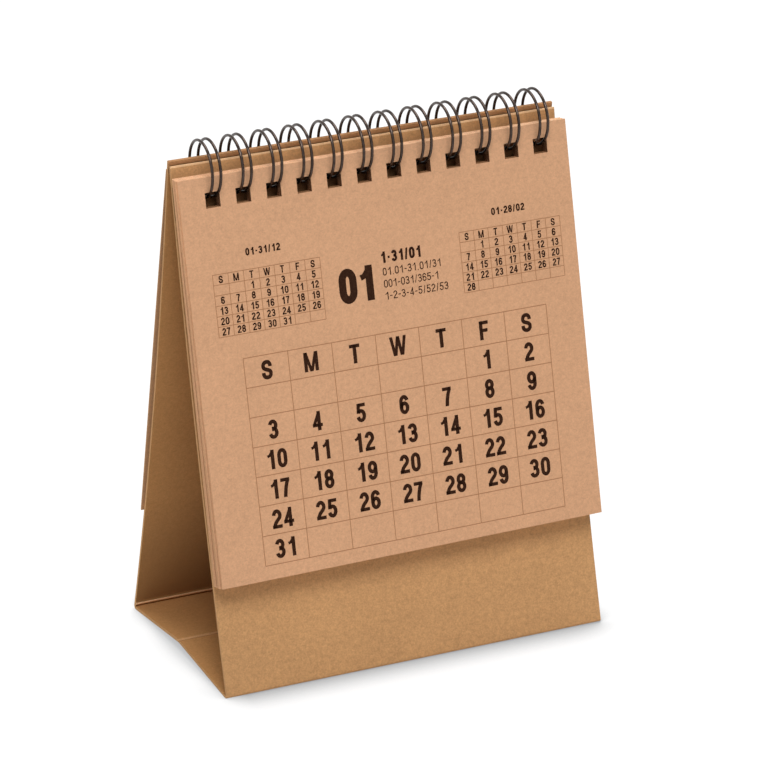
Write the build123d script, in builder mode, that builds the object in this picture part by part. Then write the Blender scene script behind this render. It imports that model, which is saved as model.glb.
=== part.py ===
from build123d import *
import os
from math import asin, cos, radians, sin, sqrt

# Driving dimensions, in millimetres and degrees

# Stand, one card folded into a tent
stand_width = 109.2
base_depth = 63.0
crease_from_front = 31.9
crease_rise = 2.8
front_panel_length = 139.5
back_panel_excess = 1.1
front_bow = 1.5
back_bow = 2.5
card_thickness = 0.8
top_gap = 0.3
fold_land = 1.8
fold_radius = 0.5

# Leaves
leaf_width = 110.6
leaf_height = 105.7
leaf_count = 12
leaf_thickness = 0.225
stack_foot_thickness = 5.1
stack_bound_height = 14.0
rear_leaf_rise = 0.5
stack_top_clearance = 1.7
stack_foot_clearance = 0.4
cover_side_inset = 0.2
cover_thickness = 0.4
cover_clearance = 0.4

# Twin-loop wire and the square holes it passes through, in a row a little right of the middle
hole_count = 12
hole_spacing = 8.467
row_shift = 0.75
hole_size = 4.0
hole_margin = 4.0
wire_diameter = 0.8
ring_radius = 7.37
ring_ahead = 0.7
ring_below = 1.55
twin_spacing = 2.33
bridge_bend_radius = 0.9
bridge_angle = 27.0
tip_angle = 361.0
ring_steps = 20
bend_steps = 2
wire_sides = 8
hang_clearance = 0.3
seat_clearance = 0.15
panel_punch = 2.4
stack_punch = 6.0

# Places that follow from the driving dimensions

back_panel_length = front_panel_length + back_panel_excess
half_depth = base_depth / 2
top_reach = top_gap / 2 + card_thickness
front_slope = asin((half_depth - top_reach) / front_panel_length)
back_slope = asin((half_depth - top_reach) / back_panel_length)
front_top = (-top_reach, front_panel_length * cos(front_slope))
back_top = (top_reach, back_panel_length * cos(back_slope))
front_out = Vector(0, -cos(front_slope), sin(front_slope))
back_out = Vector(0, cos(back_slope), sin(back_slope))

# Side planes have their first axis outward from a panel and their second axis down it.
# Face planes lie on a panel, with their second axis up it.
front_origin = Vector(0, *front_top)
back_origin = Vector(0, *back_top)
front_side = Plane(origin=front_origin, x_dir=front_out, z_dir=(1, 0, 0))
back_side = Plane(origin=back_origin, x_dir=back_out, z_dir=(-1, 0, 0))
front_face = Plane(origin=front_origin, x_dir=(1, 0, 0), z_dir=front_out)
back_face = Plane(origin=back_origin, x_dir=(-1, 0, 0), z_dir=back_out)

ring_centre = front_side.from_local_coords(Vector(ring_ahead, ring_below, 0))
ring_from_back = back_side.to_local_coords(ring_centre)
wire_radius = wire_diameter / 2


def panel_sag(bow, length, down):
    """How far a bowed panel lies inside its straight line, at a distance down from its top edge."""
    return 4 * bow * down * (length - down) / length**2


def wire_drop(offset):
    """How far below the ring's centre the wire crosses a sheet that lies at this offset from it."""
    return sqrt(ring_radius**2 - offset**2)


def wire_reach(offset, clearance):
    """Half the wire's height in a sheet that it crosses at a slant, with a clearance."""
    return (wire_radius + clearance) * ring_radius / wire_drop(offset)


# Holes of the stand stand on the wire's underside.
front_crossing = ring_ahead + panel_sag(front_bow, front_panel_length, ring_below + ring_radius)
front_hole_foot = ring_below + wire_drop(front_crossing) + wire_reach(front_crossing, seat_clearance)
front_hole_centre = front_hole_foot - hole_size / 2

back_ring_below = ring_from_back.Y
back_crossing = -ring_from_back.X - panel_sag(back_bow, back_panel_length, back_ring_below + ring_radius)
back_hole_foot = (
    back_ring_below
    + wire_drop(back_crossing - card_thickness)
    + wire_reach(back_crossing - card_thickness, seat_clearance)
)
back_hole_centre = back_hole_foot - hole_size / 2

# Leaves hang on the wire by the upper edges of their holes.
stack_top_thickness = leaf_count * leaf_thickness
stack_front_offset = stack_top_clearance + stack_top_thickness - ring_ahead
stack_hang = wire_reach(stack_front_offset, hang_clearance)
stack_hole_top = ring_below + wire_drop(stack_front_offset) - stack_hang
stack_top = stack_hole_top - hole_margin
stack_foot = stack_top + leaf_height
leaf_spread = (stack_foot_thickness - leaf_thickness) / (leaf_count - 1)

cover_width = stand_width - 2 * cover_side_inset
cover_outer_offset = cover_clearance + cover_thickness - ring_from_back.X
cover_hang = wire_reach(cover_outer_offset, hang_clearance)
cover_hole_top = back_ring_below + wire_drop(cover_outer_offset) - cover_hang
cover_top = cover_hole_top - hole_margin


def leaf_back(index, down):
    """Rear face of a leaf of the stack, as a distance outward from the front panel."""
    share = (down - stack_top) / leaf_height
    at_top = stack_top_clearance + index * leaf_thickness
    at_foot = stack_foot_clearance + index * leaf_spread
    return at_top + (at_foot - at_top) * share


# Stand

with BuildPart() as stand:
    with BuildSketch(Plane.YZ):
        with BuildLine():
            SagittaArc(front_top, (-half_depth, 0), front_bow)
            Polyline(
                (-half_depth, 0),
                (-half_depth + fold_land, 0),
                (-half_depth + crease_from_front, crease_rise),
                (half_depth - fold_land, 0),
                (half_depth, 0),
            )
            SagittaArc((half_depth, 0), back_top, back_bow)
            offset(amount=card_thickness, side=Side.LEFT, closed=True)
        make_face()
    extrude(amount=stand_width / 2, both=True)
    outer_folds = stand.edges().filter_by(Axis.X).group_by(Axis.Z)[0].sort_by(Axis.Y)
    fillet([outer_folds[0], outer_folds[-1]], radius=fold_radius)
    with BuildSketch(front_face):
        with Locations((row_shift, -front_hole_centre)):
            with GridLocations(hole_spacing, hole_spacing, hole_count, 1):
                Rectangle(hole_size, hole_size)
    extrude(amount=-panel_punch, mode=Mode.SUBTRACT)
    with BuildSketch(back_face):
        with Locations((-row_shift, -back_hole_centre)):
            with GridLocations(hole_spacing, hole_spacing, hole_count, 1):
                Rectangle(hole_size, hole_size)
    extrude(amount=-panel_punch, mode=Mode.SUBTRACT)
stand.part.label = "stand"

# Month leaves, bound at the top and fanned at the foot

fan = [(leaf_back(0, stack_top), stack_top - rear_leaf_rise)]
fan.append((leaf_back(leaf_count, stack_top), stack_top))
fan.append((leaf_back(leaf_count - 1, stack_foot) + leaf_thickness, stack_foot))
for upper in range(leaf_count - 1, 0, -1):
    fan.append((leaf_back(upper, stack_foot), stack_foot))
    fan.append((leaf_back(upper, stack_top + stack_bound_height), stack_top + stack_bound_height))
    fan.append((leaf_back(upper - 1, stack_foot) + leaf_thickness, stack_foot))
fan.append((leaf_back(0, stack_foot), stack_foot))

with BuildPart() as page_block:
    with BuildSketch(front_side):
        with BuildLine():
            Polyline(*fan, close=True)
        make_face()
    extrude(amount=leaf_width / 2, both=True)
    with BuildSketch(front_face):
        with Locations((row_shift, -stack_hole_top - hole_size / 2)):
            with GridLocations(hole_spacing, hole_spacing, hole_count, 1):
                Rectangle(hole_size, hole_size)
    extrude(amount=stack_punch, mode=Mode.SUBTRACT)
page_block.part.label = "page_block"

# Cover leaf, turned over to the back

with BuildPart() as cover_leaf:
    with BuildSketch(back_face.offset(cover_clearance)):
        with Locations((0, -cover_top)):
            Rectangle(cover_width, leaf_height, align=(Align.CENTER, Align.MAX))
        with Locations((-row_shift, -cover_hole_top - hole_size / 2)):
            with GridLocations(hole_spacing, hole_spacing, hole_count, 1):
                Rectangle(hole_size, hole_size, mode=Mode.SUBTRACT)
    extrude(amount=cover_thickness)
cover_leaf.part.label = "cover_leaf"

# Twin-loop wire, bent from one length


def on_ring(angle, sideways, ahead=0.0):
    """A point of the wire at an angle from the ring's lowest point, moved ahead along the ring's tangent."""
    turn = radians(angle)
    return ring_centre + Vector(
        sideways,
        ring_radius * sin(turn) + ahead * cos(turn),
        -ring_radius * cos(turn) + ahead * sin(turn),
    )


half_pitch = hole_spacing / 2
half_twin = twin_spacing / 2
bend_centre = -half_twin - bridge_bend_radius
half_loop = [on_ring(bridge_angle, -half_pitch, -bridge_bend_radius)]
for step in range(bend_steps, 0, -1):
    bend = radians(90 * step / bend_steps)
    half_loop.append(
        on_ring(bridge_angle, bend_centre + bridge_bend_radius * cos(bend), -bridge_bend_radius * sin(bend))
    )
for step in range(ring_steps + 1):
    half_loop.append(on_ring(bridge_angle + (tip_angle - bridge_angle) * step / ring_steps, -half_twin))
for step in range(1, bend_steps + 1):
    bend = radians(90 * step / bend_steps)
    half_loop.append(on_ring(tip_angle, -half_twin * cos(bend), half_twin * sin(bend)))

with BuildPart() as twin_loop:
    with BuildLine() as loop_path:
        Polyline(*half_loop)
    with BuildSketch(Plane(origin=half_loop[0], z_dir=(1, 0, 0))):
        RegularPolygon(radius=wire_radius, side_count=wire_sides)
    sweep(path=loop_path.line, transition=Transition.RIGHT)
    mirror(about=Plane.YZ)

with BuildPart() as wire_binding:
    with Locations((row_shift, 0)):
        with GridLocations(hole_spacing, hole_spacing, hole_count, 1):
            add(twin_loop.part)
wire_binding.part.label = "wire_binding"

os.makedirs("parts", exist_ok=True)
export_step(stand.part, "parts/stand.step")
export_step(page_block.part, "parts/page_block.step")
export_step(cover_leaf.part, "parts/cover_leaf.step")
export_step(wire_binding.part, "parts/wire_binding.step")
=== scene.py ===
import math
import random

import bpy
import numpy as np
from mathutils import Matrix, Vector


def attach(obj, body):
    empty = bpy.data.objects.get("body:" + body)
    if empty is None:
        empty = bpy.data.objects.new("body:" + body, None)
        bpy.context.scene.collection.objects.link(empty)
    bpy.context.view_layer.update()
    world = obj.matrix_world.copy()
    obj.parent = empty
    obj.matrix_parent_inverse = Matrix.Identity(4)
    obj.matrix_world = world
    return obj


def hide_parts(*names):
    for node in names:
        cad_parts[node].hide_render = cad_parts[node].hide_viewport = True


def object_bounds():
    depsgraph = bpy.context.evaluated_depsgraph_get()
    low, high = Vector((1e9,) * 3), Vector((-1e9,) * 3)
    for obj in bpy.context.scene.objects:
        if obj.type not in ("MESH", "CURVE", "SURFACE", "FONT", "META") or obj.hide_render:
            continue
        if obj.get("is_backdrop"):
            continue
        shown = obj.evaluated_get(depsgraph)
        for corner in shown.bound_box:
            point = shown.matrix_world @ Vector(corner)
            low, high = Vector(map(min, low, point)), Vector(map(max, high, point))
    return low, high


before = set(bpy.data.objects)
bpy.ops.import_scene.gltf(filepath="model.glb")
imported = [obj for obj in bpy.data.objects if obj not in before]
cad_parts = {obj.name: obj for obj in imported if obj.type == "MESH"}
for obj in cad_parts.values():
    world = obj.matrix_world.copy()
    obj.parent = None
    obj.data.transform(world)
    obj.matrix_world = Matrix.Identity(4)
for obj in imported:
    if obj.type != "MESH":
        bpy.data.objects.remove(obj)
cad_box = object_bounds()

MM = 0.001

# Sizes of the solids, in millimetres, and the places that follow from them
STAND_WIDTH = 109.2
BASE_DEPTH = 63.0
CREASE_FROM_FRONT = 31.9
CREASE_RISE = 2.8
FRONT_LENGTH = 139.5
BACK_LENGTH = 140.6
FRONT_BOW = 1.5
BACK_BOW = 2.5
CARD = 0.8
TOP_REACH = 0.95
FOLD_LAND = 1.8
FRONT_HOLE_FOOT = 9.399
BACK_HOLE_FOOT = 9.461

LEAF_WIDTH = 110.6
LEAF_HEIGHT = 105.7
LEAF_COUNT = 12
LEAF_THICKNESS = 0.225
STACK_TOP = 3.115
STACK_TOP_CLEARANCE = 1.7
STACK_FOOT_CLEARANCE = 0.4
STACK_FOOT_THICKNESS = 5.1
COVER_WIDTH = 108.8
COVER_TOP = 3.002
COVER_CLEARANCE = 0.4
COVER_THICKNESS = 0.4

HOLE_COUNT = 12
HOLE_SPACING = 8.467
ROW_SHIFT = 0.75
HOLE_SIZE = 4.0
HOLE_MARGIN = 4.0

RING_CENTRE = (-1.9725, 134.7547)
RING_RADIUS = 7.37
WIRE_RADIUS = 0.4
TWIN_SPACING = 2.33
BRIDGE_BEND = 0.9
BRIDGE_ANGLE = 27.0
TIP_ANGLE = 361.0

HALF_DEPTH = BASE_DEPTH / 2
FRONT_SLOPE = math.asin((HALF_DEPTH - TOP_REACH) / FRONT_LENGTH)
BACK_SLOPE = math.asin((HALF_DEPTH - TOP_REACH) / BACK_LENGTH)
FRONT_TOP_Z = FRONT_LENGTH * math.cos(FRONT_SLOPE)
BACK_TOP_Z = BACK_LENGTH * math.cos(BACK_SLOPE)
HOLE_CENTRES = [ROW_SHIFT + (k - (HOLE_COUNT - 1) / 2) * HOLE_SPACING for k in range(HOLE_COUNT)]


def front_point(x, down, out):
    """A place over the front panel's straight line, in metres."""
    c, s = math.cos(FRONT_SLOPE), math.sin(FRONT_SLOPE)
    return Vector((x, -TOP_REACH - out * c - down * s, FRONT_TOP_Z + out * s - down * c)) * MM


def back_point(x, down, out):
    """A place over the back panel's straight line, in metres."""
    c, s = math.cos(BACK_SLOPE), math.sin(BACK_SLOPE)
    return Vector((x, TOP_REACH + out * c + down * s, BACK_TOP_Z + out * s - down * c)) * MM


# Materials: noises are given as scale, detail and roughness, and lengths in metres

CLOUD_NOISE, CLOUD_WEIGHT = (55.0, 2.0, 0.6), 0.3
PULP_NOISE, PULP_WEIGHT = (800.0, 4.0, 0.65), 0.8
FINE_NOISE, FINE_WEIGHT = (2100.0, 3.0, 0.7), 1.2
NOISE_LOW, NOISE_HIGH = 0.3, 0.7
TONE_REACH = 1.6
GRAIN_SPREAD = 0.13
FIBRE_NOISE = (1.0, 2.0, 0.5)
FIBRE_STRETCH = (480.0, 1700.0, 1700.0)
FIBRE_FADE = 0.08
# Each kind of fibre has a turn, the level of noise from which it shows, and a shade
FIBRES = ((0.5, 0.66, 0.80), (1.6, 0.66, 1.16), (-0.7, 0.67, 0.84), (2.4, 0.67, 1.12))
# Painted shade in crevices: the reach of its occlusion test, its samples, and the dark colour that it paints
CREVICE_REACH = 0.004
CREVICE_SAMPLES = 8
CREVICE_SHADE_TINT = (44, 25, 13)
KRAFT_BUMP = {"Strength": 0.25, "Distance": 0.00008}
KRAFT_FINISH = {"Roughness": 0.92, "Specular IOR Level": 0.06}

INK_NOISE = (1700.0, 3.0, 0.7)
INK_WEAR_SPAN = (0.45, 0.75)
INK_WEAR_TINT = (172, 126, 92)
INK_FINISH = {"Roughness": 0.9, "Specular IOR Level": 0.08}

COAT_NOISE = (900.0, 3.0, 0.6)
COAT_SPAN = (0.35, 0.65)
COAT_TINTS = ((58, 46, 40), (76, 64, 58))
# Painted shade on the wire where it is crowded: the reach of its occlusion test, the span of openness, and the
# dark colour
WIRE_SHADE_REACH = 0.0025
WIRE_SHADE_SPAN = (0.5, 0.9)
WIRE_SHADE_TINT = (10, 7, 5)
GLOSS_NOISE = (2600.0, 2.0, 0.6)
GLOSS_ROUGHNESS = (0.12, 0.2)
COAT_BUMP = {"Strength": 0.08, "Distance": 0.00005}
COAT_METALLIC = 0.85


class Nodes:
    """A short way to add and join the nodes of a material or a world."""

    def __init__(self, owner, output="ShaderNodeOutputMaterial"):
        self.owner = owner
        owner.use_nodes = True
        self.tree = owner.node_tree
        self.tree.nodes.clear()
        self.output = self.tree.nodes.new(output)

    def put(self, value, socket):
        """Join a socket to another one, or set a constant on it."""
        if isinstance(value, bpy.types.NodeSocket):
            self.tree.links.new(value, socket)
        else:
            socket.default_value = value

    def add(self, kind, links=None, **values):
        node = self.tree.nodes.new(kind)
        for key, value in values.items():
            setattr(node, key, value)
        for key, value in (links or {}).items():
            self.put(value, node.inputs[key])
        return node

    def place(self):
        return self.add("ShaderNodeTexCoord").outputs["Object"]

    def axis(self, place, letter):
        return self.add("ShaderNodeSeparateXYZ", {0: place}).outputs[letter]

    def noise(self, place, scale, detail, roughness):
        links = {"Vector": place, "Scale": scale, "Detail": detail, "Roughness": roughness}
        return self.add("ShaderNodeTexNoise", links).outputs["Fac"]

    def open_share(self, reach, samples):
        """How open the surroundings are within a reach, from 0 in a crevice to 1 in the open."""
        return self.add("ShaderNodeAmbientOcclusion", {"Distance": reach}, samples=samples).outputs["AO"]

    def math(self, operation, a, b):
        return self.add("ShaderNodeMath", {0: a, 1: b}, operation=operation).outputs[0]

    def span(self, value, low, high, to_low=0.0, to_high=1.0):
        links = {"Value": value, 1: low, 2: high, 3: to_low, 4: to_high}
        return self.add("ShaderNodeMapRange", links).outputs[0]

    def mix(self, factor, a, b):
        """A colour between two. The node has its colours at inputs 6 and 7 and output 2, counted from 0."""
        node = self.add("ShaderNodeMix", {0: factor}, data_type="RGBA")
        self.put(a, node.inputs[6])
        self.put(b, node.inputs[7])
        return node.outputs[2]

    def finish(self, shader):
        self.tree.links.new(shader.outputs[0], self.output.inputs["Surface"])
        return self.owner


def linear(r, g, b, scale=1.0):
    """An sRGB colour of 0 to 255 as the linear colour that a shader takes, times a scale."""
    out = []
    for v in (r, g, b):
        v = v / 255
        out.append(scale * (v / 12.92 if v <= 0.04045 else ((v + 0.055) / 1.055) ** 2.4))
    return (*out, 1.0)


def kraft(name, rgb, grain=1.0, fleck=0.5, crevice_shade=None, painted_foot_shade=None):
    """Unbleached kraft stock: cloudy pulp, fine grain, and short darker and lighter fibres.

    Two arguments paint shade into the colour. The first is the span of openness over which crevices go from a
    painted dark shade to the stock's own colour. The second paints shade that darkens the stock towards its
    foot:
    a low and a high place on Z and the share of the colour at the low one.
    """
    n = Nodes(bpy.data.materials.new(name))
    place = n.place()

    def weighed(noise, weight):
        return n.span(noise, NOISE_LOW, NOISE_HIGH, -weight, weight)

    cloud = n.noise(place, *CLOUD_NOISE)
    pulp = n.noise(place, *PULP_NOISE)
    fine = n.noise(place, *FINE_NOISE)
    level = n.math("ADD", weighed(cloud, CLOUD_WEIGHT), weighed(pulp, PULP_WEIGHT))
    level = n.math("ADD", level, weighed(fine, FINE_WEIGHT))
    spread = GRAIN_SPREAD * grain
    tone = n.span(level, -TONE_REACH, TONE_REACH)
    colour = n.mix(tone, linear(*rgb, 1 - spread), linear(*rgb, 1 + spread))
    for turn, low, shade in FIBRES:
        links = {"Vector": place, "Rotation": (0.0, turn, 0.0), "Scale": FIBRE_STRETCH}
        fibres = n.noise(n.add("ShaderNodeMapping", links).outputs[0], *FIBRE_NOISE)
        colour = n.mix(n.span(fibres, low, low + FIBRE_FADE, 0.0, fleck), colour, linear(*rgb, shade))
    # Painted shade: the colour goes dark where the surroundings are closed in
    if crevice_shade:
        open_share = n.open_share(CREVICE_REACH, CREVICE_SAMPLES)
        colour = n.mix(n.span(open_share, *crevice_shade), linear(*CREVICE_SHADE_TINT), colour)
    # Painted shade: the colour darkens towards the foot of the piece
    if painted_foot_shade:
        low, high, shade = painted_foot_shade
        colour = n.mix(n.span(n.axis(place, "Z"), low, high), linear(*rgb, shade), colour)
    lift = n.add("ShaderNodeBump", {"Height": n.math("ADD", pulp, fine), **KRAFT_BUMP})
    links = {"Base Color": colour, "Normal": lift.outputs[0], **KRAFT_FINISH}
    return n.finish(n.add("ShaderNodeBsdfPrincipled", links))


def printed(name, rgb, wear):
    """Ink that lets a little of the stock's grain through."""
    n = Nodes(bpy.data.materials.new(name))
    mask = n.span(n.noise(n.place(), *INK_NOISE), *INK_WEAR_SPAN, 0.0, wear)
    colour = n.mix(mask, linear(*rgb), linear(*INK_WEAR_TINT))
    return n.finish(n.add("ShaderNodeBsdfPrincipled", {"Base Color": colour, **INK_FINISH}))


def coated_wire(name):
    """Steel wire with a thin dark coat, slightly uneven in gloss, with painted shade where the wire is crowded.
    """
    n = Nodes(bpy.data.materials.new(name))
    place = n.place()
    patch = n.noise(place, *COAT_NOISE)
    colour = n.mix(n.span(patch, *COAT_SPAN), *(linear(*tint) for tint in COAT_TINTS))
    # Painted shade: darker where the wire is crowded, as in the holes
    open_share = n.open_share(WIRE_SHADE_REACH, CREVICE_SAMPLES)
    colour = n.mix(n.span(open_share, *WIRE_SHADE_SPAN), linear(*WIRE_SHADE_TINT), colour)
    gloss = n.span(n.noise(place, *GLOSS_NOISE), NOISE_LOW, NOISE_HIGH, *GLOSS_ROUGHNESS)
    lift = n.add("ShaderNodeBump", {"Height": patch, **COAT_BUMP})
    links = {"Base Color": colour, "Metallic": COAT_METALLIC, "Roughness": gloss, "Normal": lift.outputs[0]}
    return n.finish(n.add("ShaderNodeBsdfPrincipled", links))


PAGE = kraft("page_kraft", (216, 166, 128))
# Leaves' top and foot edges: the paper's lighter cut, with a painted highlight along the top edges
PAGE_EDGE_AND_HIGHLIGHT = kraft("page_edge_and_highlight", (242, 202, 164), fleck=0.2)
PAGE_SIDE = kraft("page_side", (236, 184, 138), fleck=0.2)
# Painted shade on the walls of the leaves' holes: near black on most walls, lighter on the foot wall where
# light falls, darker on the right wall
HOLE_WALL_SHADE = kraft("hole_wall_shade", (42, 26, 16), fleck=0.2)
HOLE_FOOT_SHADE = kraft("hole_foot", (170, 122, 84), fleck=0.2)
HOLE_SIDE_SHADE = kraft("hole_side", (104, 70, 46), fleck=0.2)
STAND = kraft("stand_kraft", (202, 154, 106), 1.5)
# Front panel behind the leaves' holes, with strong painted shade in the crevice there
STAND_BEHIND_SHADE = kraft("stand_shade_behind_leaves", (202, 154, 106), 1.5, crevice_shade=(0.32, 0.6))
STAND_INSIDE = kraft("stand_inside", (192, 142, 91))
# Inner face of the back panel, with painted shade that darkens it towards its foot
STAND_INSIDE_BACK_SHADED = kraft("stand_inside_back", (190, 140, 89), painted_foot_shade=(0.0, 0.036, 0.55))
STAND_EDGE = kraft("stand_edge", (212, 164, 114), fleck=0.2)
# Front panel's top edge and the strip below it: the card's lighter cut, with a painted highlight
STAND_TOP_EDGE_AND_HIGHLIGHT = kraft("stand_top_edge_and_highlight", (240, 198, 152), fleck=0.2)
# Painted shade: a darker colour, darker still in its crevice, on the back panel's inner strip by its top and on
# its top edge
STAND_RIM_SHADE = kraft("stand_rim_shade", (178, 132, 92), crevice_shade=(0.1, 0.5))
# Painted highlight along the bead inside the back fold
BEAD_HIGHLIGHT = kraft("bead_highlight", (236, 192, 148), fleck=0.2)
# Painted highlight along the crease's ridge, on the rear half of the base
CREASE_HIGHLIGHT = kraft("crease_highlight", (208, 160, 112), fleck=0.2)
# Painted shade in the score in front of the crease
CREASE_SHADE = kraft("crease_shade", (120, 80, 48), fleck=0.2)
COVER = kraft("cover_kraft", (200, 156, 116))
COVER_EDGE = kraft("cover_edge", (216, 170, 128), fleck=0.2)
INK = printed("dark_ink", (50, 28, 17), 0.07)
LINE_INK = printed("line_ink", (172, 122, 86), 0.5)
WIRE = coated_wire("coated_wire")

# The look of each mark that the faces of a sheet can have
STAND_LOOKS = {
    "face": STAND,
    "edge": STAND_EDGE,
    "hole": STAND_EDGE,
    "ridge": BEAD_HIGHLIGHT,
    "score": CREASE_SHADE,
    "top": STAND_TOP_EDGE_AND_HIGHLIGHT,
    "rim": STAND_RIM_SHADE,
    "behind": STAND_BEHIND_SHADE,
    "inside": STAND_INSIDE,
    "line": CREASE_HIGHLIGHT,
    "inside_back": STAND_INSIDE_BACK_SHADED,
}
LEAF_LOOKS = {
    "face": PAGE,
    "edge": PAGE_EDGE_AND_HIGHLIGHT,
    "hole": HOLE_WALL_SHADE,
    "side": PAGE_SIDE,
    "hole_foot": HOLE_FOOT_SHADE,
    "hole_side": HOLE_SIDE_SHADE,
}
COVER_LOOKS = {"face": COVER, "edge": COVER_EDGE, "hole": COVER_EDGE}


# Sheets with punched holes


def mesh_piece(name, points, faces, marks, looks, body, sharp=30.0):
    """One mesh object, in metres in the shared frame, that rides on a body.

    looks gives a material for each mark, and each face has a mark.
    """
    mesh = bpy.data.meshes.new(name)
    mesh.from_pydata([tuple(p) for p in points], [], faces)
    for material in looks.values():
        mesh.materials.append(material)
    index = {mark: i for i, mark in enumerate(looks)}
    mesh.polygons.foreach_set("material_index", [index[mark] for mark in marks])
    mesh.polygons.foreach_set("use_smooth", [True] * len(faces))
    mesh.set_sharp_from_angle(angle=math.radians(sharp))
    mesh.validate()
    mesh.update()
    piece = bpy.data.objects.new(name, mesh)
    bpy.context.scene.collection.objects.link(piece)
    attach(piece, body)
    return piece


def used_only(points, faces):
    """The same faces with the points that no face uses left out."""
    kept = sorted({i for f in faces for i in f})
    index = {old: new for new, old in enumerate(kept)}
    return [points[i] for i in kept], [tuple(index[i] for i in f) for f in faces]


def plain_tone(row, side):
    """The marks of a sheet that is the same in every row."""
    return "edge" if side == "edge" else "face"


def sheet_parts(outer, inner, is_hole, tone=plain_tone, walls=None):
    """Points, faces and marks of a sheet from its outer and inner grids of points.

    tone gives the mark of a row's outer or inner side, or of the cut edge beside a row. walls gives the mark of
    a hole's wall by the step of rows and columns from the card into the hole, and other walls are plain holes.
    """
    rows, columns = len(outer), len(outer[0])
    points = [p for row in outer for p in row] + [p for row in inner for p in row]
    count = rows * columns
    walls = walls or {}
    faces, marks = [], []

    def within(r, c):
        return 0 <= r < rows - 1 and 0 <= c < columns - 1

    def solid(r, c):
        return within(r, c) and not is_hole(r, c)

    for r in range(rows - 1):
        for c in range(columns - 1):
            if not solid(r, c):
                continue
            a, b = r * columns + c, r * columns + c + 1
            d, e = a + columns, b + columns
            faces.append((a, d, e, b))
            faces.append((a + count, b + count, e + count, d + count))
            marks += [tone(r, "outer"), tone(r, "inner")]
            for p, q, step in ((b, a, (-1, 0)), (d, e, (1, 0)), (a, d, (0, -1)), (e, b, (0, 1))):
                near = (r + step[0], c + step[1])
                if not solid(*near):
                    faces.append((p, q, q + count, p + count)[::-1])
                    marks.append(walls.get(step, "hole") if within(*near) else tone(near[0], "edge"))
    return *used_only(points, faces), marks


def hole_columns(width):
    """Places across a sheet: its edges, the sides and middles of its holes, and one place between."""
    xs = [-width / 2, width / 2]
    for x in HOLE_CENTRES:
        xs += [x - HOLE_SIZE / 2, x, x + HOLE_SIZE / 2]
    for a, b in zip(HOLE_CENTRES, HOLE_CENTRES[1:]):
        xs.append((a + b) / 2)
    return sorted(xs)


def in_hole(x):
    return any(abs(x - c) < HOLE_SIZE / 2 for c in HOLE_CENTRES)


# Stand: one card, followed from the front panel's top edge round the base to the back panel's

# Straight runs of its section, counted from the front panel, and the arc at the crease
FRONT_RUN, FRONT_BASE_RUN, REAR_BASE_RUN, BACK_RUN = 0, 2, 3, 5
BASE_RUNS = (FRONT_BASE_RUN, REAR_BASE_RUN)
CREASE_ARC = 2
FOLD_ROUND, LAND_ROUND, CREASE_ROUND = 0.85, 4.0, 0.4
ARC_STEPS = 8
INSIDE = Vector((0.0, 40.0))

# Rows of points: the strip at the front panel's top, which takes a painted highlight, the rim over the holes,
# which takes painted shade on the back panel's inner face, and counts for the rest
TOP_STRIP = 0.42
RIM_MIDDLE, RIM_FOOT = 1.5, 3.2
FRONT_ROWS, BACK_ROWS, BASE_ROWS, LAND_ROWS = 30, 28, 10, 3
SCORE_ROWS = [0.15, 0.3, 0.45, 0.6, 0.8, 1.1]
ROW_SLACK = 0.1

# Bead pressed along the inside of the back fold, and the score along the crease
FOLD_ZONE, FOLD_STEP = 3.5, 0.25
BEAD_RISE, BEAD_PLACE, BEAD_BREADTH = 0.45, 0.9, 0.5
# Spans from the fold or the crease with painted light: a highlight on the bead, shade in the score, a highlight
# along the crease's ridge
BEAD_LOOK = (0.3, 1.2)
SCORE_DEPTH, SCORE_BREADTH = 0.4, 0.4
SCORE_LOOK, LINE_LOOK = 0.5, 0.55


def rounded_path(corners, radii):
    """Straight runs of a path as (start, end), and the arcs between them as lists of (place, spoke)."""
    runs, arcs = [], []
    start = corners[0]
    for i in range(1, len(corners)):
        a, b = corners[i - 1], corners[i]
        direction = (b - a).normalized()
        if i == len(corners) - 1:
            runs.append((start, b))
            break
        after = (corners[i + 1] - b).normalized()
        turn = math.acos(max(-1.0, min(1.0, direction.dot(after))))
        cut = radii[i] * math.tan(turn / 2)
        end = b - direction * cut
        runs.append((start, end))
        side = Vector((-direction.y, direction.x))
        if side.dot(after) < 0:
            side = -side
        centre = end + side * radii[i]
        arc = []
        for k in range(ARC_STEPS + 1):
            angle = turn * k / ARC_STEPS
            spoke = -side * math.cos(angle) + direction * math.sin(angle)
            arc.append((centre + spoke * radii[i], spoke))
        arcs.append(arc)
        start = b + after * cut
    return runs, arcs


def run_rows(run, length):
    """Distances along a run of the section at which it has a row of points."""
    if run == FRONT_RUN:
        rows = [0.0, TOP_STRIP, *panel_rows(FRONT_HOLE_FOOT)]
        return rows + list(np.linspace(FRONT_HOLE_FOOT, length, FRONT_ROWS)[1:])
    if run == BACK_RUN:
        rows = [0.0, *panel_rows(BACK_HOLE_FOOT)]
        rows += list(np.linspace(BACK_HOLE_FOOT, length - FOLD_ZONE, BACK_ROWS)[1:])
        rows += [length - FOLD_ZONE + k * FOLD_STEP for k in range(1, round(FOLD_ZONE / FOLD_STEP) + 1)]
        return sorted(length - down for down in rows)
    if run in BASE_RUNS:
        near = [length - d if run == FRONT_BASE_RUN else d for d in SCORE_ROWS]
        return sorted(list(np.linspace(0.0, length, BASE_ROWS)) + near)
    return list(np.linspace(0.0, length, LAND_ROWS))


def panel_rows(hole_foot):
    """Rows at the top of a panel, from the rim to the foot of its holes."""
    return [RIM_MIDDLE, RIM_FOOT, hole_foot - HOLE_SIZE, hole_foot - HOLE_SIZE / 2, hole_foot]


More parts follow.
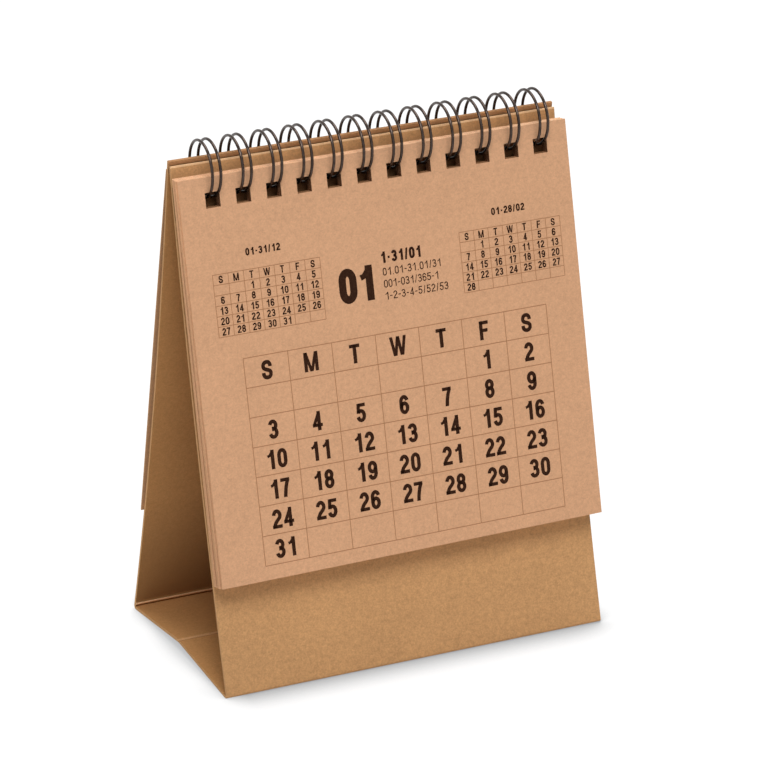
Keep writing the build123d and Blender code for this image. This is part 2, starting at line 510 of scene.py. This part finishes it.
def stand_profile():
    """Rows of the card's section: an outer place, an inner place, and a panel with a distance.

    The distance is from the panel's top edge, from the back fold or from the crease.
    """
    corners = [
        Vector((-TOP_REACH, FRONT_TOP_Z)),
        Vector((-HALF_DEPTH, 0.0)),
        Vector((-HALF_DEPTH + FOLD_LAND, 0.0)),
        Vector((-HALF_DEPTH + CREASE_FROM_FRONT, CREASE_RISE)),
        Vector((HALF_DEPTH - FOLD_LAND, 0.0)),
        Vector((HALF_DEPTH, 0.0)),
        Vector((TOP_REACH, BACK_TOP_Z)),
    ]
    radii = [0.0, FOLD_ROUND, LAND_ROUND, CREASE_ROUND, LAND_ROUND, FOLD_ROUND, 0.0]
    bows = {FRONT_RUN: FRONT_BOW, BACK_RUN: BACK_BOW}
    runs, arcs = rounded_path(corners, radii)
    profile = []
    for run, (start, end) in enumerate(runs):
        length = (end - start).length
        direction = (end - start).normalized()
        normal = Vector((direction.y, -direction.x))
        if normal.dot(INSIDE - start) > 0:
            normal = -normal
        for d in run_rows(run, length):
            u = d / length
            sag = 4 * bows.get(run, 0.0) * u * (1 - u)
            outer = start + direction * d - normal * sag
            depth, key = CARD, ("base", 0.0)
            if run == FRONT_RUN:
                key = ("front", d)
            elif run == BACK_RUN:
                depth += BEAD_RISE * math.exp(-(((d - BEAD_PLACE) / BEAD_BREADTH) ** 2))
                key = ("back", length - d) if d > FOLD_ZONE else ("fold", d)
            elif run in BASE_RUNS:
                from_crease = length - d if run == FRONT_BASE_RUN else d
                depth -= SCORE_DEPTH * math.exp(-((from_crease / SCORE_BREADTH) ** 2))
                key = ("front_base" if run == FRONT_BASE_RUN else "rear_base", from_crease)
            profile.append((outer, outer - normal * depth, key))
        if run < len(arcs):
            depth, panel = (CARD - SCORE_DEPTH, "crease") if run == CREASE_ARC else (CARD, "base")
            for place, spoke in arcs[run][1:-1]:
                outward = spoke if spoke.dot(INSIDE - place) < 0 else -spoke
                profile.append((place, place - outward * depth, (panel, 0.0)))
    return profile


def make_stand():
    profile = stand_profile()
    xs = hole_columns(STAND_WIDTH)
    outer = [[Vector((x, o.x, o.y)) * MM for x in xs] for o, _, _ in profile]
    inner = [[Vector((x, n.x, n.y)) * MM for x in xs] for _, n, _ in profile]
    feet = {"front": FRONT_HOLE_FOOT, "back": BACK_HOLE_FOOT}

    def is_hole(r, c):
        if not in_hole((xs[c] + xs[c + 1]) / 2):
            return False
        (panel, a), (other, b) = profile[r][2], profile[r + 1][2]
        if panel != other or panel not in feet:
            return False
        foot = feet[panel]
        return foot - HOLE_SIZE < (a + b) / 2 < foot

    def tone(r, side):
        if side == "edge":
            # Cut edges: the front panel's top edge takes a painted highlight, and the back panel's top edge
            # painted shade
            return "top" if r < 0 else "rim" if r == len(profile) - 1 else "edge"
        panel, place = profile[r][2]
        if side == "outer":
            if panel != "front":
                return "face"
            # Rows behind the leaves' holes take painted shade
            if FRONT_HOLE_FOOT - HOLE_SIZE - ROW_SLACK < place < FRONT_HOLE_FOOT + ROW_SLACK:
                return "behind"
            # The strip at the panel's top takes a painted highlight
            return "top" if place < ROW_SLACK else "face"
        # The back panel's inner strip by its top takes painted shade
        if panel == "back" and place < RIM_FOOT + ROW_SLACK:
            return "rim"
        # The bead takes a painted highlight
        if panel == "fold" and BEAD_LOOK[0] < place < BEAD_LOOK[1]:
            return "ridge"
        # The crease's ridge takes a painted highlight
        if panel == "rear_base" and place < LINE_LOOK:
            return "line"
        # The score takes painted shade
        if panel in ("front_base", "crease") and place < SCORE_LOOK:
            return "score"
        # Other inner faces; those of the back panel and its fold darken towards the foot with painted shade
        return "inside_back" if panel in ("back", "fold") else "inside"

    points, faces, marks = sheet_parts(outer, inner, is_hole, tone)
    piece = mesh_piece("stand_card", points, faces, marks, STAND_LOOKS, "tent")
    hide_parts("stand")


make_stand()

# Month leaves, each a loose sheet on the wire

LEAF_ROWS = [0.0, 2.0, HOLE_MARGIN, HOLE_MARGIN + HOLE_SIZE / 2, HOLE_MARGIN + HOLE_SIZE, 11.0, 15.0]
LOWER_FROM, LOWER_ROWS = 20.0, 16
LEAF_ROWS += [LOWER_FROM + k * (LEAF_HEIGHT - LOWER_FROM) / LOWER_ROWS for k in range(LOWER_ROWS + 1)]
FRONT_LEAF = LEAF_COUNT - 1

# The most that a leaf drifts either way, in millimetres: at its foot, at its side, and by a turn
DRIFT_MOST = {"foot": 0.03, "side": 0.1, "turn": 0.12}
DRIFT_SEED = 11
drift = random.Random(DRIFT_SEED)
leaf_drift = [{key: drift.uniform(-most, most) for key, most in DRIFT_MOST.items()} for _ in range(LEAF_COUNT)]
leaf_drift[FRONT_LEAF] = {"foot": 0.0, "side": 0.1, "turn": 0.0}

# Leaves lie close together in groups that stand apart at the foot and at the sides
LEAF_GROUPS = [0, 0, 1, 1, 1, 2, 2, 3, 3, 3, 4, 4]
GROUP_SIDE = [0.05, -0.3, 0.1, -0.2, 0.24]
CLOSE = 0.33
CLOSE_STEPS = LEAF_COUNT - len(GROUP_SIDE)
GROUP_STEP = (STACK_FOOT_THICKNESS - LEAF_THICKNESS - CLOSE_STEPS * CLOSE) / (len(GROUP_SIDE) - 1)

# A leaf hangs at a slant, bends and twists a little, and the rear leaves stand higher at the top
LEAF_SLANT = 0.0045
LEAF_BEND = 0.85
LEAF_TWIST = -0.45
LEAF_RISE = 0.34
RISE_FALL = 0.0028

# Only the points beyond EDGE_FROM follow a leaf's loose side, and none goes past EDGE_MOST
SIDE_PLAY = 0.7
LEFT_OUT = 0.3
EDGE_FROM = 52.0
EDGE_SPARE = 0.03
EDGE_MOST = LEAF_WIDTH / 2 - EDGE_SPARE

# Walls of a leaf's holes by the step of rows and columns into the hole: below it and at its right, each with
# its own painted shade; the other walls take the near-black painted shade
LEAF_WALLS = {(-1, 0): "hole_foot", (0, -1): "hole_side"}


def leaf_parts(xs, place, thickness, tone=plain_tone, walls=None):
    """Points, faces and marks of one leaf, from what places a point by x, distance down and distance out."""
    outer = [[place(x, down, thickness) for x in xs] for down in LEAF_ROWS]
    inner = [[place(x, down, 0.0) for x in xs] for down in LEAF_ROWS]

    def is_hole(r, c):
        middle = (LEAF_ROWS[r] + LEAF_ROWS[r + 1]) / 2
        return HOLE_MARGIN < middle < HOLE_MARGIN + HOLE_SIZE and in_hole((xs[c] + xs[c + 1]) / 2)

    return sheet_parts(outer, inner, is_hole, tone, walls)


def leaf_out(index, x, down):
    """How far a leaf's rear face lies outward from the front panel's straight line."""
    share = (down / LEAF_HEIGHT) ** LEAF_BEND
    at_top = STACK_TOP_CLEARANCE + index * LEAF_THICKNESS
    group = LEAF_GROUPS[index]
    at_foot = STACK_FOOT_CLEARANCE + group * GROUP_STEP + (index - group) * CLOSE + leaf_drift[index]["foot"]
    twist = LEAF_TWIST * (index / FRONT_LEAF) * (x / LEAF_WIDTH * 2) * share
    return at_top + (at_foot - at_top) * share + twist


def leaf_tone(row, side):
    """The marks of a month leaf: its faces, its sides, and its top and foot edges."""
    if side != "edge":
        return "face"
    # Top and foot edges take the lighter cut colour with its painted highlight
    return "side" if 0 <= row < len(LEAF_ROWS) - 1 else "edge"


def make_leaves():
    points, faces, marks = [], [], []
    xs = hole_columns(LEAF_WIDTH - SIDE_PLAY)
    for index in range(LEAF_COUNT):
        move = leaf_drift[index]

        def place(x, down, thick):
            loose = move["side"] + GROUP_SIDE[LEAF_GROUPS[index]] + move["turn"] * down / LEAF_HEIGHT
            across = x
            if abs(x) > EDGE_FROM:
                across += loose - (LEFT_OUT if x < 0 else 0.0)
                across = max(-EDGE_MOST, min(EDGE_MOST, across))
            rise = x * LEAF_SLANT
            if down == 0.0:
                rise += (LEAF_RISE - x * RISE_FALL) * (1 - index / FRONT_LEAF)
            return front_point(across, STACK_TOP + down - rise, leaf_out(index, x, down) + thick)

        p, f, m = leaf_parts(xs, place, LEAF_THICKNESS, leaf_tone, LEAF_WALLS)
        faces += [tuple(i + len(points) for i in face) for face in f]
        points += p
        marks += m
    piece = mesh_piece("month_leaves", points, faces, marks, LEAF_LOOKS, "pages")
    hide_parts("page_block")


make_leaves()

# Cover leaf, on the back


def make_cover():
    def place(x, down, thick):
        return back_point(x, COVER_TOP + down, COVER_CLEARANCE + thick)

    points, faces, marks = leaf_parts(hole_columns(COVER_WIDTH)[::-1], place, COVER_THICKNESS)
    piece = mesh_piece("cover_sheet", points, faces, marks, COVER_LOOKS, "cover")
    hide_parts("cover_leaf")


make_cover()

# Twin-loop wire: it lies a little to the right in the holes, and its loops narrow to their tips

WIRE_SHIFT = 0.2
WIRE_SQUEEZE = 0.0043
WIRE_SIDES = 10
WIRE_SHARP = 60.0
TIP_SHARE = 0.82
TAPER_FROM = 0.65
RING_STEPS = 60
BEND_STEPS = 6


def on_ring(angle, sideways, ahead=0.0):
    """A point of the wire at an angle from the ring's lowest point, moved ahead along the ring's tangent."""
    turn = math.radians(angle)
    s, c = math.sin(turn), math.cos(turn)
    y = RING_CENTRE[0] + RING_RADIUS * s + ahead * c
    z = RING_CENTRE[1] - RING_RADIUS * c + ahead * s
    return Vector((sideways, y, z)) * MM


def wire_path():
    """The middle line of the wire: half a loop, mirrored, and repeated at the holes."""
    half_twin = TWIN_SPACING / 2
    tip = half_twin * TIP_SHARE
    bend_centre = -half_twin - BRIDGE_BEND
    bends = [math.radians(90.0 * k / BEND_STEPS) for k in range(1, BEND_STEPS + 1)]
    half = [on_ring(BRIDGE_ANGLE, -HOLE_SPACING / 2, -BRIDGE_BEND)]
    for bend in reversed(bends):
        sideways = bend_centre + BRIDGE_BEND * math.cos(bend)
        half.append(on_ring(BRIDGE_ANGLE, sideways, -BRIDGE_BEND * math.sin(bend)))
    for k in range(RING_STEPS + 1):
        taper = max(0.0, (k / RING_STEPS - TAPER_FROM) / (1 - TAPER_FROM))
        angle = BRIDGE_ANGLE + (TIP_ANGLE - BRIDGE_ANGLE) * k / RING_STEPS
        half.append(on_ring(angle, -half_twin + (half_twin - tip) * taper**2))
    for bend in bends:
        half.append(on_ring(TIP_ANGLE, -tip * math.cos(bend), tip * math.sin(bend)))
    loop = half + [Vector((-p.x, p.y, p.z)) for p in reversed(half[:-1])]
    path = []
    for x in HOLE_CENTRES:
        across = x + WIRE_SHIFT - x * WIRE_SQUEEZE
        shifted = [p + Vector((across * MM, 0, 0)) for p in loop]
        path += shifted[1:] if path else shifted
    return path


def tube(path, radius, sides):
    """Points and faces of a round tube along a path, with closed ends."""
    points, faces = [], []
    ahead = (path[1] - path[0]).normalized()
    side = ahead.orthogonal().normalized()
    for i, p in enumerate(path):
        before, after = path[max(i - 1, 0)], path[min(i + 1, len(path) - 1)]
        tangent = (after - before).normalized()
        side = (side - tangent * side.dot(tangent)).normalized()
        up = tangent.cross(side)
        for k in range(sides):
            a = 2 * math.pi * k / sides
            points.append(p + (side * math.cos(a) + up * math.sin(a)) * radius)
    for i in range(len(path) - 1):
        for k in range(sides):
            a, b = i * sides + k, i * sides + (k + 1) % sides
            faces.append((a, b, b + sides, a + sides))
    faces.append(tuple(range(sides))[::-1])
    faces.append(tuple(range(len(points) - sides, len(points))))
    return points, faces


def make_wire():
    points, faces = tube(wire_path(), WIRE_RADIUS * MM, WIRE_SIDES)
    marks = ["wire"] * len(faces)
    looks = {"wire": WIRE}
    piece = mesh_piece("twin_loop_wire", points, faces, marks, looks, "tent", WIRE_SHARP)
    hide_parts("wire_binding")


make_wire()

# Print on the front leaf: ruled grids, weekday initials and plain numbers


def arc(cx, cy, rx, ry, start, end, steps=12):
    angles = [math.radians(start + (end - start) * k / steps) for k in range(steps + 1)]
    return [(cx + rx * math.cos(a), cy + ry * math.sin(a)) for a in angles]


def oval(cx, cy, rx, ry):
    return arc(cx, cy, rx, ry, 0, 360, steps=24)


def bezier(a, b, c, d, steps=7):
    out = []
    for k in range(steps + 1):
        t = k / steps
        w = ((1 - t) ** 3, 3 * t * (1 - t) ** 2, 3 * t * t * (1 - t), t**3)
        out.append(tuple(w[0] * a[i] + w[1] * b[i] + w[2] * c[i] + w[3] * d[i] for i in (0, 1)))
    return out


ZERO = arc(0.5, 0.70, 0.5, 0.30, 0, 180) + arc(0.5, 0.30, 0.5, 0.30, 180, 360) + [(1.0, 0.70)]
TWO = arc(0.5, 0.70, 0.5, 0.30, 172, 0) + bezier((1.0, 0.70), (1.0, 0.45), (0.1, 0.40), (0.02, -0.06))[1:]
SIX = [
    (1.0, oval(0.5, 0.29, 0.5, 0.29)),
    (1.0, [(0.0, 0.29), (0.0, 0.68)] + arc(0.5, 0.70, 0.5, 0.30, 180, 12)),
]
ESS = (
    bezier((0.98, 0.69), (0.98, 0.90), (0.80, 1.0), (0.5, 1.0))
    + bezier((0.5, 1.0), (0.2, 1.0), (0.03, 0.88), (0.03, 0.735))[1:]
    + bezier((0.03, 0.735), (0.03, 0.58), (0.25, 0.55), (0.5, 0.50))[1:]
    + bezier((0.5, 0.50), (0.78, 0.44), (1.0, 0.42), (1.0, 0.25))[1:]
    + bezier((1.0, 0.25), (1.0, 0.1), (0.8, 0.0), (0.5, 0.0))[1:]
    + bezier((0.5, 0.0), (0.2, 0.0), (0.0, 0.1), (0.0, 0.32))[1:]
)

# Each sign has a width and strokes of (share of the stroke width, middle line in a unit box)
SIGNS = {
    "0": (0.54, [(1.0, ZERO)]),
    "1": (0.54, [(1.0, [(0.80, -0.3), (0.80, 1.3)]), (0.75, [(0.0, 0.72), (0.36, 0.77), (0.80, 1.02)])]),
    "2": (0.54, [(1.0, TWO), (0.9, [(-0.4, 0.0), (1.4, 0.0)])]),
    "3": (
        0.54,
        [
            (1.0, arc(0.46, 0.75, 0.48, 0.25, 168, -90) + [(0.28, 0.50)]),
            (1.0, [(0.28, 0.54)] + arc(0.48, 0.27, 0.52, 0.27, 90, -168)),
        ],
    ),
    "4": (
        0.56,
        [
            (1.0, [(0.74, -0.3), (0.74, 1.3)]),
            (0.85, [(0.80, 1.06), (-0.06, 0.22)]),
            (0.85, [(-0.4, 0.22), (1.4, 0.22)]),
        ],
    ),
    "5": (
        0.54,
        [
            (0.9, [(0.10, 1.0), (1.25, 1.0)]),
            (0.95, [(0.16, 1.1), (0.06, 0.46)]),
            (1.0, arc(0.48, 0.31, 0.52, 0.31, 138, -168)),
        ],
    ),
    "6": (0.54, SIX),
    "7": (
        0.50,
        [
            (0.9, [(-0.4, 1.0), (1.4, 1.0)]),
            (1.0, bezier((1.05, 1.0), (0.70, 0.70), (0.42, 0.35), (0.34, -0.3))),
        ],
    ),
    "8": (0.54, [(1.0, oval(0.5, 0.755, 0.46, 0.245)), (1.0, oval(0.5, 0.27, 0.5, 0.27))]),
    "9": (0.54, [(w, [(1 - x, 1 - y) for x, y in line]) for w, line in SIX]),
    "S": (0.60, [(1.0, ESS)]),
    "M": (
        0.80,
        [
            (0.95, [(0.0, -0.3), (0.0, 1.3)]),
            (0.95, [(1.0, -0.3), (1.0, 1.3)]),
            (0.8, [(-0.02, 1.25), (0.5, -0.18)]),
            (0.8, [(1.02, 1.25), (0.5, -0.18)]),
        ],
    ),
    "T": (0.58, [(1.0, [(0.5, -0.3), (0.5, 1.1)]), (0.9, [(-0.5, 1.0), (1.5, 1.0)])]),
    "W": (
        0.97,
        [
            (0.85, [(-0.03, 1.25), (0.25, -0.25)]),
            (0.85, [(0.25, -0.25), (0.5, 1.15)]),
            (0.85, [(0.5, 1.15), (0.75, -0.25)]),
            (0.85, [(0.75, -0.25), (1.03, 1.25)]),
        ],
    ),
    "F": (
        0.52,
        [
            (1.0, [(0.0, -0.3), (0.0, 1.1)]),
            (0.9, [(-0.3, 1.0), (1.4, 1.0)]),
            (0.9, [(0.0, 0.5), (1.15, 0.5)]),
        ],
    ),
    "/": (0.36, [(0.8, [(-0.1, -0.3), (1.1, 1.3)])]),
    "-": (0.36, [(0.9, [(-0.2, 0.45), (1.2, 0.45)])]),
    ".": (0.24, [(1.0, [(0.5, -0.4), (0.5, 0.04)])]),
}

INITIALS = "SMTWTFS"
WEEK = len(INITIALS)
RULE_LENGTH = 5.0
TOUCH = 1e-6


def clipped(polygon, axis, limit, sign):
    """The part of a convex polygon on one side of a line across an axis."""
    out = []
    for i, p in enumerate(polygon):
        q = polygon[(i + 1) % len(polygon)]
        dp, dq = sign * (limit - p[axis]), sign * (limit - q[axis])
        if dp >= 0:
            out.append(p)
        if dp * dq < 0:
            t = dp / (dp - dq)
            out.append(tuple(p[k] + (q[k] - p[k]) * t for k in (0, 1)))
    return out


def ribbon(line, width):
    """Quads of a stroke of even width along a middle line."""
    closed = math.dist(line[0], line[-1]) < TOUCH
    left, right = [], []
    for i, p in enumerate(line):
        a, b = line[max(i - 1, 0)], line[min(i + 1, len(line) - 1)]
        if closed:
            a = line[i - 1] if i else line[-2]
            b = line[i + 1] if i < len(line) - 1 else line[1]
        length = math.dist(a, b)
        nx, ny = -(b[1] - a[1]) / length * width / 2, (b[0] - a[0]) / length * width / 2
        left.append((p[0] + nx, p[1] + ny))
        right.append((p[0] - nx, p[1] - ny))
    return [(left[i], left[i + 1], right[i + 1], right[i]) for i in range(len(line) - 1)]


def sign_shapes(sign, height, stroke, narrow):
    """Polygons of one sign with its lower left corner at the origin, and its width."""
    width, strokes = SIGNS[sign]
    width *= height * narrow
    half = stroke / 2
    shapes = []
    for share, line in strokes:
        scaled = [(half + x * (width - stroke), half + y * (height - stroke)) for x, y in line]
        for quad in ribbon(scaled, stroke * share):
            polygon = list(quad)
            for axis, limit, side in ((0, width, 1), (0, 0.0, -1), (1, height, 1), (1, 0.0, -1)):
                polygon = clipped(polygon, axis, limit, side)
                if len(polygon) < 3:
                    break
            if len(polygon) >= 3:
                shapes.append(polygon)
    return shapes, width


def line_of_signs(text, x, foot, height, stroke, narrow=1.0, align=0.5, gap=0.10):
    """Polygons of a line of signs on the leaf: x across, foot down from the leaf's top edge."""
    made, place = [], 0.0
    for sign in text:
        shapes, width = sign_shapes(sign, height, stroke, narrow)
        made.append((shapes, place))
        place += width + gap * height
    start = x - align * (place - gap * height)
    return [
        [(start + offset + px, foot - py) for px, py in shape]
        for shapes, offset in made
        for shape in shapes
    ]


def rule(x0, y0, x1, y1, width):
    """A ruled line across or down the leaf, in short lengths."""
    steps = max(1, math.ceil(max(abs(x1 - x0), abs(y1 - y0)) / RULE_LENGTH))
    cells = []
    half = width / 2
    for k in range(steps):
        ax, ay = x0 + (x1 - x0) * k / steps, y0 + (y1 - y0) * k / steps
        bx, by = x0 + (x1 - x0) * (k + 1) / steps, y0 + (y1 - y0) * (k + 1) / steps
        if y0 == y1:
            cells.append([(ax, ay - half), (bx, by - half), (bx, by + half), (ax, ay + half)])
        else:
            cells.append([(ax - half, ay), (ax + half, ay), (bx + half, by), (bx - half, by)])
    return cells


def grid_rules(left, right, top, foot, rows, width):
    """Ruled lines round the cells of a month."""
    cells = []
    for c in range(WEEK + 1):
        x = left + (right - left) * c / WEEK
        cells += rule(x, top, x, foot, width)
    for r in range(rows + 1):
        y = top + (foot - top) * r / rows
        cells += rule(left, y, right, y, width)
    return cells


def month_signs(left, right, top, foot, rows, first, days, height, stroke):
    """Weekday initials and the days of a month, each in the middle of its cell."""
    wide, tall = (right - left) / WEEK, (foot - top) / rows
    shapes = []

    def put(text, column, row):
        x = left + wide * (column + 0.5)
        base = top + tall * (row + 0.5) + height / 2
        shapes.extend(line_of_signs(text, x, base, height, stroke))

    for column, initial in enumerate(INITIALS):
        put(initial, column, 0)
    for day in range(1, days + 1):
        cell = first + day - 1
        put(str(day), cell % WEEK, 1 + cell // WEEK)
    return shapes


# The print starts a little above the leaf's own top and slants about a line at the right
PRINT_TOP = 2.965
PRINT_SLANT = 0.003
PRINT_PIVOT = 44.0
RULE_LIFT = 0.02
INK_LIFT = 0.03


def print_piece(name, shapes, material, lift):
    """Flat print just over the front leaf."""
    points, faces = [], []
    for shape in shapes:
        face = []
        for x, down in shape:
            out = leaf_out(FRONT_LEAF, x, down) + LEAF_THICKNESS + lift
            face.append(len(points))
            points.append(front_point(x, PRINT_TOP + down + (PRINT_PIVOT - x) * PRINT_SLANT, out))
        faces.append(tuple(face))
    mesh_piece(name, points, faces, ["ink"] * len(faces), {"ink": material}, "pages")


# Each month has a grid (left, right, top and foot on the leaf), rows of cells, and the width of its rules,
# then the weekday that it starts on, its days, and the height and stroke of its signs
MONTHS = {
    "main": ((-42.35, 44.61, 47.64, 102.03), 7, 0.2, (5, 31, 5.05, 1.0)),
    "left": ((-48.22, -18.27, 25.15, 41.30), 6, 0.16, (2, 31, 1.95, 0.36)),
    "right": ((21.54, 50.95, 24.99, 40.94), 6, 0.16, (1, 28, 1.95, 0.36)),
}
MONTH_NUMBER = {"height": 9.2, "stroke": 2.05, "narrow": 1.02, "gap": 0.02}
SIDE_HEAD = {"height": 1.95, "stroke": 0.42, "narrow": 1.06, "gap": 0.11}
MAIN_HEAD = {"height": 3.0, "stroke": 0.66, "align": 0.0, "gap": 0.08}
NOTE = {"x": -1.1, "height": 2.05, "stroke": 0.26, "align": 0.0}

for month, (grid, rows, width, _) in MONTHS.items():
    print_piece(month + "_grid_rules", grid_rules(*grid, rows, width), LINE_INK, RULE_LIFT)
for month, (grid, rows, _, signs) in MONTHS.items():
    print_piece(month + "_days", month_signs(*grid, rows, *signs), INK, INK_LIFT)
print_piece("month_number", line_of_signs("01", x=-8.6, foot=38.5, **MONTH_NUMBER), INK, INK_LIFT)
heads = line_of_signs("01-31/12", x=-33.7, foot=21.6, **SIDE_HEAD)
heads += line_of_signs("01-28/02", x=36.2, foot=21.95, **SIDE_HEAD)
heads += line_of_signs("1-31/01", x=-1.4, foot=29.5, **MAIN_HEAD)
print_piece("month_heads", heads, INK, INK_LIFT)
notes = line_of_signs("01.01-31.01/31", foot=32.8, gap=0.12, **NOTE)
notes += line_of_signs("001-031/365-1", foot=35.95, gap=0.1, **NOTE)
notes += line_of_signs("1-2-3-4-5/52/53", foot=39.1, gap=0.13, **NOTE)
print_piece("small_numbers", notes, INK, INK_LIFT)

# Floor, light and camera: lengths in metres, colours linear

WHITE = (1.0, 1.0, 1.0, 1.0)
FLOOR_HALF = 4.0
FLOOR_GLOW = 0.86
FLOOR_LIT = (0.22, 0.22, 0.22, 1.0)
FLOOR_BOUNCE = (0.86, 0.87, 0.88, 1.0)

# Contact shadow, weaker at the tent's open left end: from and to on X, with its shares there
CONTACT_REACH = 0.014
CONTACT_SAMPLES = 16
CONTACT_SPAN = (0.98, 0.6)
CONTACT_LEFT = (-0.0546, -0.049, 0.5, 1.0)
CONTACT_TINT = (0.34, 0.36, 0.375, 1.0)

FILL_LIGHT = 0.2
LIGHT_SIZE = 0.8
LIGHT_TARGET = (0, 0, 0.07)

# Camera fitted to the photo: place in millimetres, angles in degrees, focal length in pixels of its width
CAMERA_PLACE = (-468.233, -1003.436, 515.332)
CAMERA_YAW, CAMERA_PITCH, CAMERA_ROLL = 25.21429, -21.99452, -0.22234
FOCAL_PIXELS = 4534.7
PHOTO_WIDTH = 760
SENSOR_WIDTH = 36.0
CLIP_START, CLIP_END = 0.05, 20.0


def make_floor():
    """A white floor that shows its contact shadow to the camera and sends plain light back to the part."""
    half = FLOOR_HALF
    corners = [(-half, -half, 0), (half, -half, 0), (half, half, 0), (-half, half, 0)]
    mesh = bpy.data.meshes.new("floor")
    mesh.from_pydata(corners, [], [(0, 1, 2, 3)])
    floor = bpy.data.objects.new("floor", mesh)
    bpy.context.scene.collection.objects.link(floor)
    n = Nodes(bpy.data.materials.new("floor_white"))
    path = n.add("ShaderNodeLightPath")
    seen = n.math("ADD", path.outputs["Is Camera Ray"], path.outputs["Is Glossy Ray"])
    closeness = n.span(n.open_share(CONTACT_REACH, CONTACT_SAMPLES), *CONTACT_SPAN)
    shadow = n.math("MULTIPLY", closeness, n.span(n.axis(n.place(), "X"), *CONTACT_LEFT))
    glow = n.add("ShaderNodeEmission", {"Color": n.mix(shadow, WHITE, CONTACT_TINT), "Strength": FLOOR_GLOW})
    lit = n.add("ShaderNodeBsdfDiffuse", {"Color": FLOOR_LIT})
    bounce = n.add("ShaderNodeBsdfDiffuse", {"Color": FLOOR_BOUNCE})
    bright = n.add("ShaderNodeAddShader", {0: lit.outputs[0], 1: glow.outputs[0]})
    both = n.add("ShaderNodeMixShader", {0: seen, 1: bounce.outputs[0], 2: bright.outputs[0]})
    mesh.materials.append(n.finish(both))
    floor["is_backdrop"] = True


def make_world():
    """White to the camera, in reflections and through clear things, and a weak fill light for the rest."""
    world = bpy.data.worlds.new("studio")
    bpy.context.scene.world = world
    n = Nodes(world, "ShaderNodeOutputWorld")
    path = n.add("ShaderNodeLightPath")
    seen = n.math("ADD", path.outputs["Is Camera Ray"], path.outputs["Is Glossy Ray"])
    seen = n.math("ADD", seen, path.outputs["Is Transmission Ray"])
    level = n.span(seen, 0.0, 1.0, FILL_LIGHT, 1.0)
    n.finish(n.add("ShaderNodeBackground", {"Color": WHITE, "Strength": level}))


def soft_light(name, place, power):
    lamp = bpy.data.lights.new(name, "AREA")
    lamp.shape = "SQUARE"
    lamp.size = LIGHT_SIZE
    lamp.energy = power
    holder = bpy.data.objects.new(name, lamp)
    holder.location = place
    holder.rotation_euler = (Vector(LIGHT_TARGET) - Vector(place)).to_track_quat("-Z", "Y").to_euler()
    bpy.context.scene.collection.objects.link(holder)


def make_camera():
    """The photo's camera: it looks along +Y, turned to +X by its yaw, pitched, and rolled about that line."""
    yaw, pitch, roll = (math.radians(angle) for angle in (CAMERA_YAW, CAMERA_PITCH, CAMERA_ROLL))
    flat = math.cos(pitch)
    ahead = Vector((math.sin(yaw) * flat, math.cos(yaw) * flat, math.sin(pitch)))
    level = Vector((math.cos(yaw), -math.sin(yaw), 0.0))
    right = level * math.cos(roll) + level.cross(ahead) * math.sin(roll)
    turn = Matrix((right, right.cross(ahead), -ahead)).transposed().to_4x4()
    camera = bpy.data.cameras.new("photo_camera")
    camera.sensor_width = SENSOR_WIDTH
    camera.lens = FOCAL_PIXELS / PHOTO_WIDTH * SENSOR_WIDTH
    camera.clip_start = CLIP_START
    camera.clip_end = CLIP_END
    holder = bpy.data.objects.new("photo_camera", camera)
    holder.matrix_world = Matrix.Translation(Vector(CAMERA_PLACE) * MM) @ turn
    bpy.context.scene.collection.objects.link(holder)
    bpy.context.scene.camera = holder


make_floor()
make_world()
soft_light("key", (-0.32, -1.0, 1.52), power=18.2)
soft_light("overhead", (0.1, 0.35, 1.45), power=12.2)
make_camera()
bpy.context.scene.view_settings.view_transform = "Standard"

[[[float(v) for v in corner] for corner in box] for box in (cad_box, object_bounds())]
